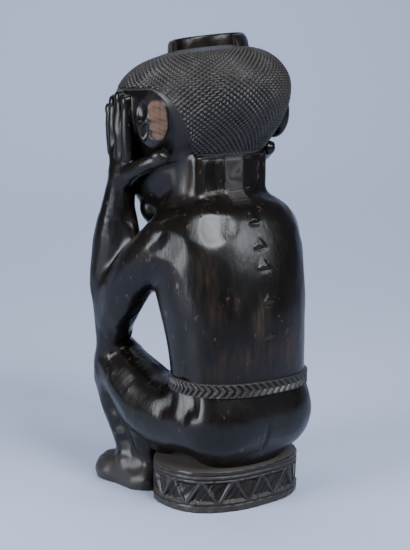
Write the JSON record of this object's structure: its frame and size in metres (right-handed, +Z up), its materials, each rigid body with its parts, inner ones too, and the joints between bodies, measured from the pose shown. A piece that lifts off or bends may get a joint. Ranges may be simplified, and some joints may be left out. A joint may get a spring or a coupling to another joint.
{
  "type": "seated figure",
  "caption": "Dark carved wooden figure seated on a low oval stool, knees drawn up, hands to the bowed head, cup-shaped crest on cross-hatched hair.",
  "frame": {"origin": "middle of the oval stool's underside, on the surface that the figure stands on", "axes": "+Z up, -Y the way the figure faces, +X its left side"},
  "size_m": [0.1132, 0.1208, 0.2652],
  "materials": {
    "patinated_wood": "dark glossy patina, worn brown on the back and the stool"
  },
  "bodies": {
    "root": {"seated_figure": "patinated_wood"}
  },
  "joints": []
}
